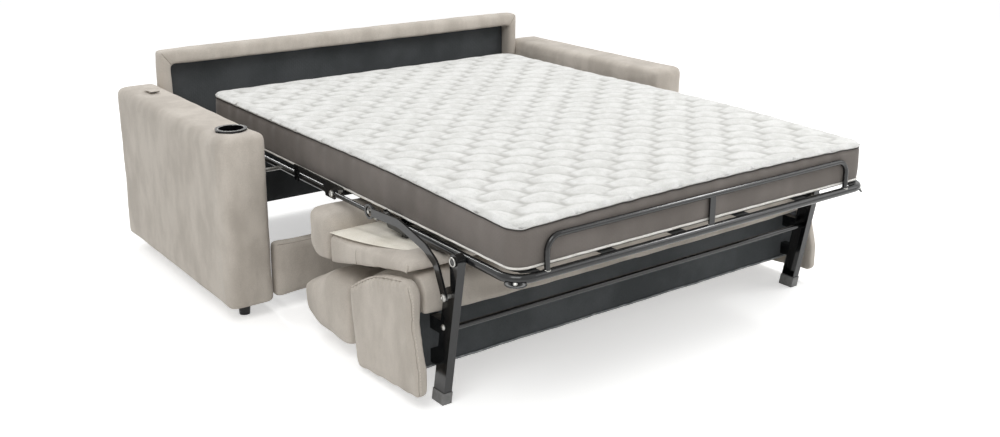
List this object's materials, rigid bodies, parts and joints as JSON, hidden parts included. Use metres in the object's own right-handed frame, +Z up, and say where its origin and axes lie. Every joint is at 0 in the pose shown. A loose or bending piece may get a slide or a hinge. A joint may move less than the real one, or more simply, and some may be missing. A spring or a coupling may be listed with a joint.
{
  "type": "sofa bed",
  "caption": "Upholstered sofa bed, open: mattress on a folding tube frame over the upturned seat and back, with wide arms, low back and a cup holder.",
  "frame": {"origin": "on the floor, at the middle of the open bed's bounding box", "axes": "+X to the right seen from the foot end, -Y from the sofa towards the foot end, +Z up"},
  "size_m": [2.006, 2.119, 0.75],
  "materials": {
    "velvet": "short pile velvet, beige",
    "dark_lining": "charcoal lining cloth over board",
    "cream_lining": "plywood under cream lining cloth",
    "black_enamel": "gloss black enamel on steel tube and sheet",
    "zinc_steel": "zinc plated steel pins",
    "black_plastic": "moulded black plastic",
    "grey_plastic": "moulded grey plastic",
    "elastic_webbing": "black elastic webbing",
    "mattress_cloth": "white quilted knit with a taupe border"
  },
  "bodies": {
    "sofa_base": {"arm_left": "velvet", "arm_right": "velvet", "arm_feet": "black_plastic", "cup_holder": "black_plastic", "arm_pull_tab": "velvet", "back_top_rail": "velvet", "back_stiles": "velvet", "back_panel": "dark_lining", "plinth": "velvet", "base_plates": "black_enamel", "base_pivot_pins": "zinc_steel"},
    "rear_links": {"rear_links": "black_enamel"},
    "front_links": {"front_links": "black_enamel"},
    "middle_section": {"middle_side_tubes": "black_enamel", "middle_cross_tubes": "black_enamel", "middle_straps": "elastic_webbing", "middle_side_plates": "black_enamel", "head_hinge_plates": "black_enamel", "head_hinge_pins": "zinc_steel", "link_pins": "zinc_steel", "fold_pins": "zinc_steel", "mattress_bend": "mattress_cloth", "mattress_middle": "mattress_cloth"},
    "head_section": {"head_side_tubes": "black_enamel", "head_cross_tubes": "black_enamel", "head_straps": "elastic_webbing", "head_hinge_arms": "black_enamel", "mattress_head": "mattress_cloth"},
    "fold_links": {"fold_links": "black_enamel", "crank_pins": "zinc_steel", "mattress_fold": "mattress_cloth"},
    "foot_section": {"foot_side_tubes": "black_enamel", "foot_end_tube": "black_enamel", "foot_cross_tube": "black_enamel", "foot_straps": "elastic_webbing", "foot_hinge_plates": "black_enamel", "foot_hinge_pins": "zinc_steel", "leg_pivot_pins": "zinc_steel", "foot_rail": "black_enamel", "foot_rail_posts": "black_enamel", "foot_rail_strut": "black_enamel", "seat_brackets": "black_enamel", "seat_board": "cream_lining", "seat_cushion": "velvet", "seat_front_roll": "velvet", "mattress_foot": "mattress_cloth"},
    "seat_back": {"legs": "black_enamel", "leg_caps": "grey_plastic", "leg_cross_tube": "black_enamel", "lever_pins": "zinc_steel", "back_brackets": "black_enamel", "back_board": "dark_lining", "back_cushion": "velvet", "back_wings": "velvet", "head_roll": "velvet"},
    "levers": {"levers": "black_enamel"}
  },
  "joints": [
    {"name": "rear_link_fold", "type": "hinge", "parent": "sofa_base", "child": "rear_links", "pos_m": [0, 0.49899, 0.12441], "axis": [-1, 0, 0], "range_deg": [0, 104]},
    {"name": "front_link_fold", "type": "hinge", "parent": "sofa_base", "child": "front_links", "pos_m": [0, 0.29899, 0.12441], "axis": [-1, 0, 0], "range_deg": [0, 104]},
    {"name": "middle_level", "type": "hinge", "parent": "rear_links", "child": "middle_section", "pos_m": [0, 0.4595, 0.446], "axis": [1, 0, 0], "range_deg": [0, 104]},
    {"name": "head_fold", "type": "hinge", "parent": "middle_section", "child": "head_section", "pos_m": [0, 0.5945, 0.446], "axis": [1, 0, 0], "range_deg": [0, 90], "deforming": ["mattress_bend"]},
    {"name": "fold_link_fold", "type": "hinge", "parent": "middle_section", "child": "fold_links", "pos_m": [0, -0.1805, 0.47], "axis": [-1, 0, 0], "range_deg": [0, 90], "deforming": ["mattress_fold"]},
    {"name": "foot_fold", "type": "hinge", "parent": "fold_links", "child": "foot_section", "pos_m": [0, -0.4481, 0.47], "axis": [-1, 0, 0], "range_deg": [0, 90]},
    {"name": "back_recline", "type": "hinge", "parent": "foot_section", "child": "seat_back", "pos_m": [0, -0.8365, 0.446], "axis": [-1, 0, 0], "range_deg": [0, 18]},
    {"name": "lever_turn", "type": "hinge", "parent": "seat_back", "child": "levers", "pos_m": [0, -0.8175, 0.343], "axis": [1, 0, 0], "range_deg": [0, 19.3]}
  ],
  "couplings": [
    {"joint": "front_link_fold", "follows": "rear_link_fold", "ratio": 1},
    {"joint": "middle_level", "follows": "rear_link_fold", "ratio": 1},
    {"joint": "head_fold", "follows": "rear_link_fold", "ratio": 0.86538},
    {"joint": "fold_link_fold", "follows": "rear_link_fold", "ratio": 0.86538},
    {"joint": "foot_fold", "follows": "rear_link_fold", "ratio": 0.86538},
    {"joint": "back_recline", "follows": "rear_link_fold", "ratio": 0.17308},
    {"joint": "lever_turn", "follows": "rear_link_fold", "ratio": 0.18558}
  ]
}
